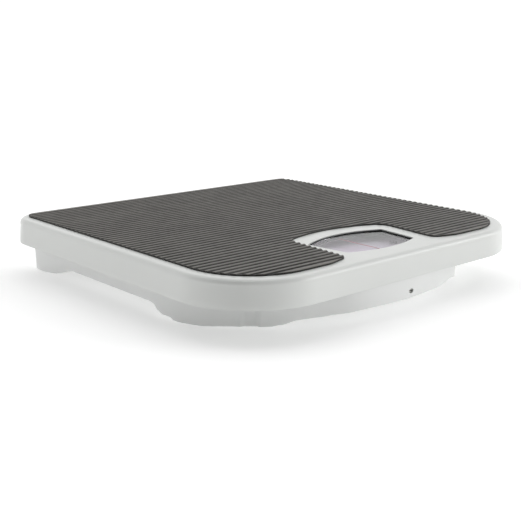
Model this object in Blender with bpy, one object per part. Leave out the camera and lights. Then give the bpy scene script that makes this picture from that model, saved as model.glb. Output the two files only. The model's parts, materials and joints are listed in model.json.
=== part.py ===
"""Mechanical bathroom scale: moulded base tray, pressed cover with a ribbed mat, and the lever,
spring, rack and dial mechanism between them. Dimensions are in millimetres, converted once to metres.

Frame: origin on the floor under the middle of the cover, +X to the user's right, +Y to the back
(away from the dial window), +Z up. The model stands unloaded, with the dial at zero.
"""

import math

import bmesh
import bpy
from mathutils import Matrix, Vector

MM = 0.001
GAP = 0.3

# Cover (the pressed steel platform)
COVER_WIDTH = 280.0
COVER_DEPTH = 267.0
COVER_TOP = 40.0
COVER_THICKNESS = 1.2
SKIRT_BOTTOM = 22.6
COVER_FRONT_RADIUS = 59.0
COVER_BACK_RADIUS = 27.0

# Ribbed mat
MAT_MARGIN = 10.3
MAT_TOP = 41.3
MAT_FRONT_RADIUS = 45.0
MAT_BACK_RADIUS = 8.0
RIB_PITCH = 5.25
GROOVE_DEPTH = 0.6
GROOVE_TOP_WIDTH = 2.7
GROOVE_FLOOR_WIDTH = 1.7
NOTCH_BACK_HALF = 48.2
NOTCH_FRONT_HALF = 42.0
NOTCH_CORNER_Y = -67.7
NOTCH_APEX_Y = -56.2
NOTCH_RADIUS = 12.0
LOBE_Y = -118.2
LOBE_START_X = 61.0

# Dial window
WINDOW_BACK_HALF = 35.9
WINDOW_BACK_Y = -77.9
WINDOW_BACK_SAG = 9.2
WINDOW_FRONT_HALF = 32.0
WINDOW_FRONT_Y = -109.4
WINDOW_FRONT_SAG = 6.3
WINDOW_CORNER_RADIUS = 2.5
LENS_BOTTOM, LENS_TOP = 37.3, 39.0

# Base tray
TRAY_HALF_WIDTH = 127.5
TRAY_BACK_Y = 125.0
TRAY_FRONT_Y = -129.3
TRAY_FRONT_BOW_RADIUS = 225.0
TRAY_FRONT_RADIUS = 90.0
TRAY_BACK_RADIUS = 15.0
TRAY_RIM = 30.0
TRAY_BOTTOM = 7.4
TRAY_WALL = 1.2
TRAY_FLOOR = TRAY_BOTTOM + TRAY_WALL
FOOT_SOLE = 2.2
PAD_TOP = FOOT_SOLE - GAP

# Levers
PIN_Z = 21.0
PIN_RADIUS = 1.6
LEVER_BOTTOM, LEVER_TOP = 18.2, 23.8
LEVER_WIDTH = 8.0
LOAD_ARM = 25.0
REAR_FULCRUM = (105.0, 100.0)
FRONT_FULCRUM = (92.0, -80.0)
NOSE_HALF = 7.0
NOSE_Y = -46.0
SHORT_TIP_X = 62.0
MEET_Y = 10.0
EAR_INNER, EAR_OUTER = 8.4, 9.6
EAR_HALF_LENGTH = 4.5

# Crank lever, rack and dial
CRANK_Y, CRANK_Z = -62.0, 11.2
CRANK_INPUT = 12.0
CRANK_INPUT_ANGLE = math.radians(28.4)
CRANK_OUTPUT = 17.5
CRANK_OUTPUT_ANGLE = math.radians(16.7)
SPRING_ARM = 9.0
CRANK_PLATE = 1.6
DIAL_Y = -44.0
DIAL_RADIUS = 73.2
DIAL_BOTTOM, DIAL_TOP = 31.2, 31.8
GEAR_MODULE = 0.4
PINION_TEETH = 9
PINION_PITCH_RADIUS = GEAR_MODULE * PINION_TEETH / 2
TOOTH_PITCH = math.pi * GEAR_MODULE
RACK_BOTTOM, RACK_TOP = 26.4, 29.2
BRIDGE_BOTTOM, BRIDGE_TOP = 24.4, 25.6

# Zero adjuster
ZERO_X, ZERO_Z = 8.4, 11.9
ZERO_HOLE_RADIUS = 2.5
NUT_Y = -106.5


# ---------------------------------------------------------------- materials

def material(name, colour, roughness, metallic=0.0, alpha=1.0):
    mat = bpy.data.materials.new(name)
    mat.use_nodes = True
    shader = mat.node_tree.nodes["Principled BSDF"]
    shader.inputs["Base Color"].default_value = (*colour, 1.0)
    shader.inputs["Roughness"].default_value = roughness
    shader.inputs["Metallic"].default_value = metallic
    if alpha < 1.0:
        shader.inputs["Transmission Weight"].default_value = 1.0 - alpha
        shader.inputs["IOR"].default_value = 1.5
    mat.diffuse_color = (*colour, alpha)
    return mat


# ---------------------------------------------------------------- outlines

def arc(centre, radius, start, end, steps):
    """Points on a circle from angle start to angle end, both ends included."""
    angles = (start + (end - start) * i / steps for i in range(steps + 1))
    return [(centre[0] + radius * math.cos(a), centre[1] + radius * math.sin(a)) for a in angles]


def sagged(first, last, sag, steps):
    """Points between two ends on a shallow arc that bulges to the right of the way it runs."""
    (x0, y0), (x1, y1) = first, last
    length = math.hypot(x1 - x0, y1 - y0)
    nx, ny = (y1 - y0) / length, -(x1 - x0) / length
    points = []
    for i in range(1, steps):
        t = i / steps
        bulge = sag * 4 * t * (1 - t)
        points.append((x0 + (x1 - x0) * t + nx * bulge, y0 + (y1 - y0) * t + ny * bulge))
    return points


def rounded(corners, step=math.radians(11)):
    """An outline from (x, y, radius) corners; a radius of 0 keeps the corner as a plain point."""
    points = []
    count = len(corners)
    for i, (x, y, radius) in enumerate(corners):
        if radius == 0:
            points.append((x, y))
            continue
        here = Vector((x, y))
        before = (Vector(corners[i - 1][:2]) - here).normalized()
        after = (Vector(corners[(i + 1) % count][:2]) - here).normalized()
        half = before.angle(after) / 2
        bisector = (before + after).normalized()
        centre = here + bisector * radius / math.sin(half)
        start = here + before * radius / math.tan(half) - centre
        sweep = start.angle_signed(here + after * radius / math.tan(half) - centre)
        steps = max(2, round(abs(sweep) / step))
        for j in range(steps + 1):
            turned = Matrix.Rotation(-sweep * j / steps, 2) @ start
            points.append(tuple(centre + turned))
    return points


def grown(outline, distance):
    """The counter-clockwise outline moved outwards by distance, one point for each of its points."""
    count = len(outline)
    moved = []
    for i, (x, y) in enumerate(outline):
        ax, ay = outline[i - 1]
        bx, by = outline[(i + 1) % count]
        first = Vector((y - ay, ax - x)).normalized()
        second = Vector((by - y, x - bx)).normalized()
        normal = (first + second).normalized()
        reach = distance / max(0.4, normal.dot(first))
        moved.append((x + normal.x * reach, y + normal.y * reach))
    return moved


def rectangle(x0, x1, y0, y1, radius):
    return rounded([(x0, y1, radius), (x0, y0, radius), (x1, y0, radius), (x1, y1, radius)])


def cover_outline():
    x, y = COVER_WIDTH / 2, COVER_DEPTH / 2
    back, front = COVER_BACK_RADIUS, COVER_FRONT_RADIUS
    return rounded([(-x, y, back), (-x, -y, front), (x, -y, front), (x, y, back)], math.radians(9))


def mat_outline():
    x, y = COVER_WIDTH / 2 - MAT_MARGIN, COVER_DEPTH / 2 - MAT_MARGIN
    back, front = MAT_BACK_RADIUS, MAT_FRONT_RADIUS
    notch, lobe, top = NOTCH_BACK_HALF, NOTCH_FRONT_HALF, NOTCH_CORNER_Y
    crown = sagged((-notch, top), (notch, top), top - NOTCH_APEX_Y, 8)
    return rounded(
        [(-x, y, back), (-x, -y, front)]
        + [(-LOBE_START_X, -y, 24), (-lobe, LOBE_Y, 7), (-notch, top, NOTCH_RADIUS)]
        + [(px, py, 0) for px, py in crown if abs(px) < notch - NOTCH_RADIUS]
        + [(notch, top, NOTCH_RADIUS), (lobe, LOBE_Y, 7), (LOBE_START_X, -y, 24)]
        + [(x, -y, front), (x, y, back)],
        math.radians(15),
    )


def window_outline():
    back, front = WINDOW_BACK_HALF, WINDOW_FRONT_HALF
    radius = WINDOW_CORNER_RADIUS
    front_arc = sagged((-front, WINDOW_FRONT_Y), (front, WINDOW_FRONT_Y), WINDOW_FRONT_SAG, 8)
    back_arc = sagged((back, WINDOW_BACK_Y), (-back, WINDOW_BACK_Y), WINDOW_BACK_SAG, 8)
    return rounded(
        [(-back, WINDOW_BACK_Y, radius), (-front, WINDOW_FRONT_Y, radius)]
        + [(x, y, 0) for x, y in front_arc]
        + [(front, WINDOW_FRONT_Y, radius), (back, WINDOW_BACK_Y, radius)]
        + [(x, y, 0) for x, y in back_arc],
        math.radians(20),
    )


def tray_front_y(x):
    bow = TRAY_FRONT_BOW_RADIUS
    return TRAY_FRONT_Y + bow - math.sqrt(bow * bow - x * x)


def tray_outline():
    x = TRAY_HALF_WIDTH
    front = [(at, tray_front_y(at), 0) for at in (-42, -28, -14, 0, 14, 28, 42)]
    return rounded(
        [(-x, TRAY_BACK_Y, TRAY_BACK_RADIUS), (-x, tray_front_y(x), TRAY_FRONT_RADIUS)]
        + front
        + [(x, tray_front_y(x), TRAY_FRONT_RADIUS), (x, TRAY_BACK_Y, TRAY_BACK_RADIUS)],
        math.radians(9),
    )


# ---------------------------------------------------------------- solids, in millimetres

def solid(bm, name="solid"):
    bmesh.ops.recalc_face_normals(bm, faces=bm.faces)
    mesh = bpy.data.meshes.new(name)
    bm.to_mesh(mesh)
    bm.free()
    made = bpy.data.objects.new(name, mesh)
    bpy.context.scene.collection.objects.link(made)
    return made


def loft(loops, closed=False):
    """A solid through loops of equal length; the end loops are capped, or joined if closed."""
    bm = bmesh.new()
    rows = [[bm.verts.new(point) for point in loop] for loop in loops]
    pairs = list(zip(rows, rows[1:])) + ([(rows[-1], rows[0])] if closed else [])
    for low, high in pairs:
        for i in range(len(low)):
            j = (i + 1) % len(low)
            bm.faces.new((low[i], low[j], high[j], high[i]))
    if not closed:
        bm.faces.new(reversed(rows[0]))
        bm.faces.new(rows[-1])
    return solid(bm)


def level(outline, z):
    return [(x, y, z) for x, y in outline]


def stacked(outline, profile, closed=False):
    """A solid with the outline grown by each profile distance at each profile height."""
    return loft([level(grown(outline, distance), z) for distance, z in profile], closed)


def prism(outline, low, high, axis="Z"):
    """An outline pushed along an axis: (x, y) along Z, (y, z) along X, (x, z) along Y."""
    place = {
        "Z": lambda a, b, c: (a, b, c),
        "X": lambda a, b, c: (c, a, b),
        "Y": lambda a, b, c: (a, c, b),
    }[axis]
    return loft([[place(a, b, c) for a, b in outline] for c in (low, high)])


def box(x0, x1, y0, y1, z0, z1):
    return prism([(x0, y0), (x1, y0), (x1, y1), (x0, y1)], z0, z1)


def circle(centre, radius, sides):
    return arc(centre, radius, 0, math.tau * (sides - 1) / sides, sides - 1)


def rod(centre, radius, low, high, axis="Z", sides=14):
    return prism(circle(centre, radius, sides), low, high, axis)


def capsule(first, last, radius, sides=6):
    """The outline around a straight line: two half circles and the sides between them."""
    angle = math.atan2(last[1] - first[1], last[0] - first[0])
    quarter = math.pi / 2
    return arc(last, radius, angle - quarter, angle + quarter, sides) + arc(
        first, radius, angle + quarter, angle + 3 * quarter, sides
    )


def bar(first, last, width, low, high):
    """A flat bar lying between two plan points, square at its ends."""
    along = (Vector(last) - Vector(first)).normalized()
    side = Vector((along.y, -along.x)) * width / 2
    corners = [Vector(first) - side, Vector(first) + side, Vector(last) + side, Vector(last) - side]
    return prism([tuple(corner) for corner in corners], low, high)


def wire(path, radius, sides=5):
    """A round wire along a path of points, with its ends closed."""
    points = [Vector(point) for point in path]
    loops = []
    normal = None
    for i, point in enumerate(points):
        along = (points[min(i + 1, len(points) - 1)] - points[max(i - 1, 0)]).normalized()
        if normal is None:
            normal = along.orthogonal().normalized()
        normal = (normal - along * normal.dot(along)).normalized()
        across = along.cross(normal)
        loops.append([
            point + radius * (normal * math.cos(a) + across * math.sin(a))
            for a in (math.tau * k / sides for k in range(sides))
        ])
    return loft(loops)


def combined(target, others, operation):
    """Joins, cuts or intersects the target with each other solid, and removes those."""
    for other in others:
        modifier = target.modifiers.new("combine", "BOOLEAN")
        modifier.operation = operation
        modifier.solver = "EXACT"
        modifier.object = other
        bpy.context.view_layer.update()
        graph = bpy.context.evaluated_depsgraph_get()
        mesh = bpy.data.meshes.new_from_object(target.evaluated_get(graph))
        target.modifiers.clear()
        spent = target.data
        target.data = mesh
        bpy.data.meshes.remove(spent)
        bpy.data.objects.remove(other)
    return target


def joined(target, *others):
    return combined(target, others, "UNION")


def cut(target, *others):
    return combined(target, others, "DIFFERENCE")


def common(target, *others):
    return combined(target, others, "INTERSECT")


def mirrored(source):
    """A copy of a solid on the other side of the middle plane."""
    bm = bmesh.new()
    bm.from_mesh(source.data)
    bmesh.ops.scale(bm, vec=(-1, 1, 1), verts=bm.verts)
    bmesh.ops.reverse_faces(bm, faces=bm.faces)
    return solid(bm)


# ---------------------------------------------------------------- pieces and their frames

def joint_frame(name, location, parent=None):
    """An empty on a joint's axis, which carries the pieces that move with it."""
    empty = bpy.data.objects.new(name, None)
    empty.empty_display_size = 0.02
    empty.location = Vector(location) * MM
    if parent is not None:
        empty.location -= world_place(parent)
        empty.parent = parent
    bpy.context.scene.collection.objects.link(empty)
    return empty


def world_place(frame):
    place = Vector(frame.location)
    while frame.parent is not None:
        frame = frame.parent
        place += frame.location
    return place


def piece(name, shape, look, frame):
    """Names a solid, turns it to metres and hangs it on its frame."""
    matrix = Matrix.Translation(-world_place(frame)) @ Matrix.Scale(MM, 4)
    shape.data.transform(matrix)
    shape.data.materials.clear()
    shape.data.materials.append(look)
    shape.data.polygons.foreach_set("material_index", [0] * len(shape.data.polygons))
    shape.name = name
    shape.data.name = name
    shape.parent = frame
    shape.data.shade_smooth()
    shape.data.set_sharp_from_angle(angle=math.radians(30))
    return shape


# ---------------------------------------------------------------- cover group

def make_cover():
    outline = cover_outline()
    bend = [(-4.3, 40.0), (-2.9, 39.7), (-1.8, 39.0), (-1.1, 37.9), (-0.8, 36.4)]
    outer = bend + [(0.0, SKIRT_BOTTOM)]
    inner = [(-COVER_THICKNESS, SKIRT_BOTTOM), (-2.0, 36.2), (-2.4, 37.4), (-3.2, 38.4), (-4.6, 38.8)]
    shell = stacked(outline, outer + inner)
    return cut(shell, prism(window_outline(), COVER_TOP - 5, COVER_TOP + 5))


def make_mat():
    slab = prism(mat_outline(), COVER_TOP + GAP, MAT_TOP)
    half = COVER_WIDTH / 2
    back = COVER_DEPTH / 2 - MAT_MARGIN
    count = int(2 * back / RIB_PITCH)
    first = -(count - 1) / 2 * RIB_PITCH
    grooves = bmesh.new()
    wide, narrow = GROOVE_TOP_WIDTH / 2, GROOVE_FLOOR_WIDTH / 2
    low, high = MAT_TOP - GROOVE_DEPTH, MAT_TOP + GROOVE_DEPTH
    section = [(-narrow, low), (narrow, low), (wide, MAT_TOP), (wide, high), (-wide, high), (-wide, MAT_TOP)]
    for i in range(count):
        y = first + i * RIB_PITCH
        ends = [[grooves.verts.new((x, y + a, b)) for a, b in section] for x in (-half, half)]
        for k in range(len(section)):
            n = (k + 1) % len(section)
            grooves.faces.new((ends[0][k], ends[0][n], ends[1][n], ends[1][k]))
        grooves.faces.new(reversed(ends[0]))
        grooves.faces.new(ends[1])
    return cut(slab, solid(grooves))


def make_gasket():
    """The dark ring that carries the lens: a lip in the opening, a flange under the cover, a ledge."""
    section = [
        (-0.35, 39.7), (-1.5, 39.7), (-1.5, 37.0), (-4.0, 37.0),
        (-4.0, 36.2), (4.0, 36.2), (4.0, 38.5), (-0.35, 38.5),
    ]
    return stacked(window_outline(), section, closed=True)


def make_lens():
    return stacked(window_outline(), [(-1.8, LENS_BOTTOM), (-1.8, LENS_TOP - 0.3), (-2.1, LENS_TOP)])


def make_stiffener(y):
    """A hat-section rail under the cover that spreads the load to two posts."""
    half, top = 11.0, COVER_TOP - COVER_THICKNESS - GAP
    depth, wall = 5.0, 1.2
    section = [
        (-half, top), (-half, top - wall), (-half + 4, top - wall), (-half + 5, top - depth),
        (half - 5, top - depth), (half - 4, top - wall), (half, top - wall), (half, top),
        (half - 4.6, top), (half - 5.7, top - depth + wall), (-half + 5.7, top - depth + wall),
        (-half + 4.6, top),
    ]
    return prism([(y + a, b) for a, b in section], -70.0, 70.0, "X")


def make_post(x, y):
    """A saddle under the cover: two ears whose open slots sit on a lever's load pin."""
    top = COVER_TOP - COVER_THICKNESS - GAP
    low = PIN_Z - PIN_RADIUS - 0.6
    post = box(x - EAR_OUTER, x + EAR_OUTER, y - EAR_HALF_LENGTH, y + EAR_HALF_LENGTH, low, top)
    hollow = box(x - EAR_INNER, x + EAR_INNER, y - 10, y + 10, low - 5, top - 1.5)
    slot_half = PIN_RADIUS + GAP
    seat = PIN_Z + PIN_RADIUS + GAP
    slot = box(x - 15, x + 15, y - slot_half, y + slot_half, low - 5, seat)
    return cut(post, hollow, slot)


# ---------------------------------------------------------------- base group

def foot_block(side_profile, front_profile, outline):
    """A foot's block: the tray's own outline drawn in, trimmed by a side and a front profile."""
    block = stacked(outline, [(-2.8, FOOT_SOLE), (-1.8, 2.7), (-1.3, 4.2), (-0.95, 8.6), (-0.8, 11.4)])
    return common(block, prism(side_profile, -150, 0, "X"), prism(front_profile, -150, 150, "Y"))


def foot_blocks():
    """The two left feet: each is a low step under the tray, deepest at the corner."""
    outline = tray_outline()
    top, sole = 15.0, FOOT_SOLE - 0.01
    front = foot_block(
        [(-26, top), (-31, TRAY_BOTTOM), (-35, 6.6), (-38, 4.6), (-41.5, 3.0), (-48, 2.6), (-51, sole),
         (-51, -2), (-140, -2), (-140, top)],
        [(-140, -2), (-90, -2), (-88, sole), (-84, 2.9), (-79, 4.3), (-73, 5.4), (-56, 6.2), (-38, 8.0),
         (-38, top), (-140, top)],
        outline,
    )
    back = foot_block(
        [(60, top), (66, TRAY_BOTTOM), (72, 6.4), (77, 4.6), (82, 3.0), (87, sole), (87, -2), (140, -2),
         (140, top)],
        [(-140, -2), (-100, -2), (-99, sole), (-95, 4.0), (-88, 8.6), (-88, top), (-140, top)],
        outline,
    )
    return [front, back]


def make_tray():
    outline = tray_outline()
    outer = [(0.0, TRAY_RIM), (-0.5, 12.6), (-0.9, 9.4), (-1.7, 8.0), (-3.4, TRAY_BOTTOM)]
    inner = [(-4.4, TRAY_FLOOR), (-2.9, 9.3), (-2.2, 10.8), (-1.7, 13.0), (-1.2, TRAY_RIM)]
    tray = stacked(outline, outer[::-1] + inner[::-1])
    for block in foot_blocks():
        trim = [box(-150, 150, -150, 150, TRAY_FLOOR - 0.4, 20.0)]
        block = cut(block, *trim)
        other = mirrored(block)
        tray = joined(tray, block, other)
    hole = rod((ZERO_X, ZERO_Z), ZERO_HOLE_RADIUS, TRAY_FRONT_Y - 5, TRAY_FRONT_Y + 5, "Y", 20)
    return cut(tray, hole)


def make_pad(front, side):
    """A thin pad under a foot, following the foot's outer curve."""
    outline = tray_outline()
    pad = stacked(outline, [(-3.4, 0.0), (-2.9, 0.4), (-2.7, PAD_TOP)])
    if front:
        area = rectangle(-140, -98, -79, -52, 6)
    else:
        area = rectangle(-140, -102, 88, 140, 6)
    pad = common(pad, prism(area, -5, 5))
    if side > 0:
        turned = mirrored(pad)
        bpy.data.objects.remove(pad)
        return turned
    return pad


def make_fulcrum_bracket(x, y):
    """A U-shaped bracket whose two ears carry a lever's fulcrum pin."""
    low, high = TRAY_FLOOR + GAP, PIN_Z + 4.0
    ears = box(x - EAR_OUTER, x + EAR_OUTER, y - EAR_HALF_LENGTH, y + EAR_HALF_LENGTH, low, high)
    hollow = box(x - EAR_INNER, x + EAR_INNER, y - 10, y + 10, low + 1.5, high + 5)
    bore = rod((y, PIN_Z), PIN_RADIUS + GAP, x - 15, x + 15, "X")
    return cut(ears, hollow, bore)


def make_dial_bridge():
    """The plate that carries the dial's shaft, on two legs, with two stops that guide the rack."""
    half, y0, y1 = 34.0, DIAL_Y - 7.0, DIAL_Y + 7.0
    wall = BRIDGE_TOP - BRIDGE_BOTTOM
    low = TRAY_FLOOR + GAP
    bridge = box(-half, half, y0, y1, BRIDGE_BOTTOM, BRIDGE_TOP)
    legs = []
    for side in (-1, 1):
        x0, x1 = sorted((side * half, side * (half - wall)))
        f0, f1 = sorted((side * (half - wall), side * (half + 8)))
        legs.append(box(x0, x1, y0, y1, low, BRIDGE_TOP - 0.2))
        legs.append(box(f0, f1, y0, y1, low, low + wall))
    guides = [box(5.3, 6.9, y, y + 2.4, BRIDGE_TOP - 0.5, RACK_TOP) for y in (y0 + 0.2, y1 - 2.6)]
    bridge = joined(bridge, *legs, *guides)
    return cut(bridge, rod((0, DIAL_Y), 1.5, BRIDGE_BOTTOM - 2, BRIDGE_TOP + 2))


def make_crank_bracket():
    low, high = TRAY_FLOOR + GAP, CRANK_Z + 3.0
    body = box(-5.2, 5.2, CRANK_Y - 5, CRANK_Y + 5, low, high)
    hollow = box(-3.9, 3.9, CRANK_Y - 10, CRANK_Y + 10, low + 0.8, high + 5)
    relief = box(-3.0, 3.0, CRANK_Y - 3.6, CRANK_Y + 10, low - 5, low + 5)
    bore = rod((CRANK_Y, CRANK_Z), 1.5, -10, 10, "X")
    return cut(body, hollow, relief, bore)


def make_zero_guide():
    """A U-shaped strip on the tray's floor; the adjusting screw turns in its two ears."""
    low = TRAY_FLOOR + GAP
    y0, y1 = -121.5, -96.5
    body = box(ZERO_X - 4, ZERO_X + 4, y0, y1, low, ZERO_Z + 3.4)
    hollow = box(ZERO_X - 10, ZERO_X + 10, y0 + 1.2, y1 - 1.2, low + 0.8, ZERO_Z + 10)
    bore = rod((ZERO_X, ZERO_Z), 1.9, y0 - 5, y1 + 5, "Y")
    return cut(body, hollow, bore)


def make_anchor(x, y, z, up):
    """A small Z-shaped lug with a hole that holds one end of a cover spring."""
    reach = z + up * 3.5
    low, high = sorted((z, z + up * 1.0))
    tab = box(x - 4, x + 4, y - 3, y + 3, low, high)
    leg_low, leg_high = sorted((z, reach))
    leg = box(x - 4, x - 3, y - 3, y + 3, leg_low, leg_high)
    flange_low, flange_high = sorted((reach, reach - up * 1.0))
    flange = box(x - 10, x - 3, y - 3, y + 3, flange_low, flange_high)
    lug = joined(tab, leg, flange)
    return cut(lug, rod((x, y), 1.2, low - 2, high + 2))


def make_cover_spring(x, y, low, high):
    """An upright extension spring with straight ends that pass through its two lugs."""
    radius, coils, steps = 3.0, 7, 9
    start, end = low + 4.5, high - 4.5
    path = [(x, y, low), (x, y, low + 3.0), (x + radius * 0.6, y, low + 3.6)]
    for i in range(coils * steps + 1):
        angle = math.tau * i / steps
        z = start + (end - start) * i / (coils * steps)
        path.append((x + radius * math.cos(angle), y + radius * math.sin(angle), z))
    path += [(x + radius * 0.6, y, high - 3.6), (x, y, high - 3.0), (x, y, high)]
    return wire(path, 0.45)


def make_screw_pin(x, y, low, high, head):
    """A round-headed fixing screw, upright."""
    shank = rod((x, y), 1.3, low, high, sides=10)
    dome = loft([level(circle((x, y), r, 12), high + z) for r, z in ((head, -0.1), (head, 0.6), (head * 0.7, 1.3))])
    slot = box(x - head, x + head, y - 0.35, y + 0.35, high + 0.7, high + 3)
    return cut(joined(shank, dome), slot)


# ---------------------------------------------------------------- levers

def lever_pin(x, y, z=PIN_Z, reach=11.2):
    return rod((y, z), PIN_RADIUS, x - reach, x + reach, "X")


def long_x(y):
    """The long lever's arm, seen from above: its middle line's distance from the centre."""
    (fx, fy) = REAR_FULCRUM
    return NOSE_HALF + (fx - NOSE_HALF) * (y - NOSE_Y) / (fy - NOSE_Y)


def short_x(y):
    (fx, fy) = FRONT_FULCRUM
    return SHORT_TIP_X + (fx - SHORT_TIP_X) * (y - MEET_Y) / (fy - MEET_Y)


def make_long_lever():
    """Two arms that run from the rear fulcrums to one nose near the middle of the front."""
    fx, fy = REAR_FULCRUM
    low, high = LEVER_BOTTOM, LEVER_TOP
    end = fy + 6
    arms = []
    for side in (-1, 1):
        arms.append(bar((side * long_x(end), end), (side * NOSE_HALF, NOSE_Y - 1), LEVER_WIDTH, low, high))
    nose = box(-NOSE_HALF - 5, NOSE_HALF + 5, NOSE_Y - 7.5, NOSE_Y + 3, low, high)
    tie = box(-long_x(52), long_x(52), 48, 56, low + 1.2, high - 1.2)
    lever = joined(nose, *arms, tie)
    slot = box(-1.7, 1.7, NOSE_Y - 15, NOSE_Y - 1.0, low - 5, high + 5)
    bores = []
    for side in (-1, 1):
        for y in (fy, fy - LOAD_ARM):
            x = side * long_x(y)
            bores.append(rod((y, PIN_Z), PIN_RADIUS + GAP, x - 14, x + 14, "X"))
    return cut(lever, slot, *bores)


def make_short_lever(side):
    """One arm from a front fulcrum to a raised end that carries the tip pin."""
    fx, fy = FRONT_FULCRUM
    low, high = LEVER_BOTTOM, LEVER_TOP
    start, end = fy - 6, MEET_Y + 2
    lever = bar((side * short_x(start), start), (side * short_x(end), end), LEVER_WIDTH, low, high)
    x = side * short_x(MEET_Y)
    lug = box(x - 3.2, x + 3.2, MEET_Y - 4, MEET_Y + 4, low + 0.5, high + 4.8)
    lever = joined(lever, lug)
    bores = [
        rod((y, PIN_Z), PIN_RADIUS + GAP, side * short_x(y) - 14, side * short_x(y) + 14, "X")
        for y in (fy, fy + LOAD_ARM)
    ]
    bores.append(rod((MEET_Y, tip_pin_z()), PIN_RADIUS + GAP, x - 14, x + 14, "X"))
    return cut(lever, *bores)


def tip_pin_z():
    return LEVER_TOP + GAP + PIN_RADIUS


def crank_point(length, lean):
    """A point on the crank lever, by its distance from the pivot and its lean from upright."""
    return (CRANK_Y + length * math.sin(lean), CRANK_Z + length * math.cos(lean))


def make_crank():
    half = CRANK_PLATE / 2
    pivot = (CRANK_Y, CRANK_Z)
    upright = crank_point(CRANK_OUTPUT, -CRANK_OUTPUT_ANGLE)
    level_end = crank_point(CRANK_INPUT, math.pi / 2 - CRANK_INPUT_ANGLE)
    hook = crank_point(SPRING_ARM, -CRANK_OUTPUT_ANGLE)
    crank = prism(circle(pivot, 2.3, 14), -half, half, "X")
    crank = joined(
        crank,
        prism(capsule(pivot, upright, 1.5), -half + 0.001, half - 0.001, "X"),
        prism(capsule(pivot, level_end, 1.4), -half + 0.002, half - 0.002, "X"),
        prism(circle(hook, 2.1, 12), -half + 0.003, half - 0.003, "X"),
    )
    bores = [rod(pivot, 1.5, -5, 5, "X"), rod(upright, 0.95, -5, 5, "X", 10)]
    bores += [rod(level_end, 0.95, -5, 5, "X", 10), rod(hook, 0.9, -5, 5, "X", 10)]
    return cut(crank, *bores)


def make_rack():
    """The toothed strip that turns the dial, with an upright slot for the crank's output pin."""
    pin_y, pin_z = crank_point(CRANK_OUTPUT, -CRANK_OUTPUT_ANGLE)
    mean = PINION_PITCH_RADIUS
    root, tip, back = mean + 0.55, mean - 0.22, mean + 3.1
    tooth, land = 0.44, 0.24
    count = 14
    teeth_start = DIAL_Y - 10.5 * TOOTH_PITCH
    front = pin_y - 2.6
    points = [(back, front), (back, DIAL_Y + 6.5), (root, DIAL_Y + 6.5)]
    for i in reversed(range(count)):
        y = teeth_start + i * TOOTH_PITCH
        points += [(root, y + tooth), (tip, y + land), (tip, y - land), (root, y - tooth)]
    points.append((root, front))
    strip = prism(points[::-1], RACK_BOTTOM, RACK_TOP)
    lug = box(root + 0.002, back - 0.002, front + 0.002, pin_y + 2.6, RACK_BOTTOM - 0.4, RACK_TOP + 1.3)
    rise = CRANK_OUTPUT * (1 - math.cos(CRANK_OUTPUT_ANGLE))
    slot = prism(capsule((pin_y, pin_z - 0.15), (pin_y, pin_z + rise + 0.15), 1.05), -5, 15, "X")
    return cut(joined(strip, lug), slot)


def make_pinion_shaft():
    """The dial's shaft with the pinion's teeth cut on it."""
    centre = (0, DIAL_Y)
    tip, root = PINION_PITCH_RADIUS + 0.22, PINION_PITCH_RADIUS - 0.5
    outline = []
    for i in range(PINION_TEETH):
        middle = math.tau * i / PINION_TEETH
        for radius, spread in ((root, -0.26), (tip, -0.09), (tip, 0.09), (root, 0.26)):
            a = middle + spread
            outline.append((radius * math.cos(a), DIAL_Y + radius * math.sin(a)))
    shaft = rod(centre, 1.2, 24.7, 33.0, sides=16)
    return joined(shaft, prism(outline, BRIDGE_TOP + 0.4, RACK_TOP + 0.5))


def ring(centre, inner, outer, low, high, sides):
    disc = rod(centre, outer, low, high, sides=sides)
    return cut(disc, rod(centre, inner, low - 2, high + 2))


def make_zero_screw():
    """The adjusting screw: a slotted head recessed in the tray's front hole, and a plain shank."""
    head_front, head_back, end = -127.5, -125.0, -94.5
    centre = (ZERO_X, ZERO_Z)
    head = rod(centre, 2.1, head_front, head_back, "Y", 16)
    shank = rod(centre, 1.5, head_back - 0.5, end, "Y")
    slot = box(ZERO_X - 5, ZERO_X + 5, head_front - 2, head_front + 0.9, ZERO_Z - 0.4, ZERO_Z + 0.4)
    return cut(joined(head, shank), slot)


def make_zero_nut():
    """The block that the screw moves, with a plate at the middle that holds the main spring."""
    y0, y1 = NUT_Y - 2.5, NUT_Y + 2.5
    block = box(ZERO_X - 3.4, ZERO_X + 3.4, y0, y1, TRAY_FLOOR + 1.5, ZERO_Z + 3.4)
    arm = box(-0.8, ZERO_X, y0 + 0.2, y1 - 0.2, ZERO_Z + 1.9, ZERO_Z + 3.9)
    plate = box(-0.81, 0.8, y0 + 0.4, y1 - 0.4, ZERO_Z + 2.2, 22.2)
    nut = joined(block, arm, plate)
    bores = [rod((ZERO_X, ZERO_Z), 1.8, y0 - 5, y1 + 5, "Y")]
    bores.append(rod((NUT_Y, spring_z()), 0.9, -5, 4, "X", 10))
    return cut(nut, *bores)


def spring_z():
    return crank_point(SPRING_ARM, -CRANK_OUTPUT_ANGLE)[1]


def make_main_spring():
    """The measuring spring along Y, with a bent hook at each end."""
    z = spring_z()
    near, far = NUT_Y, crank_point(SPRING_ARM, -CRANK_OUTPUT_ANGLE)[0]
    radius, coils, steps, beside = 3.0, 15, 9, 1.6
    path = [(-2.2, near, z), (beside - 0.5, near, z), (beside, near + 0.6, z), (beside, near + 3.0, z)]
    start, end = near + 4.6, far - 4.6
    for i in range(coils * steps + 1):
        angle = math.tau * i / steps
        y = start + (end - start) * i / (coils * steps)
        path.append((radius * math.cos(angle), y, z + radius * math.sin(angle)))
    path += [(beside, far - 3.0, z), (beside, far - 0.6, z), (beside - 0.5, far, z), (-2.2, far, z)]
    return wire(path, 0.45)


# ---------------------------------------------------------------- assembly

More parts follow.
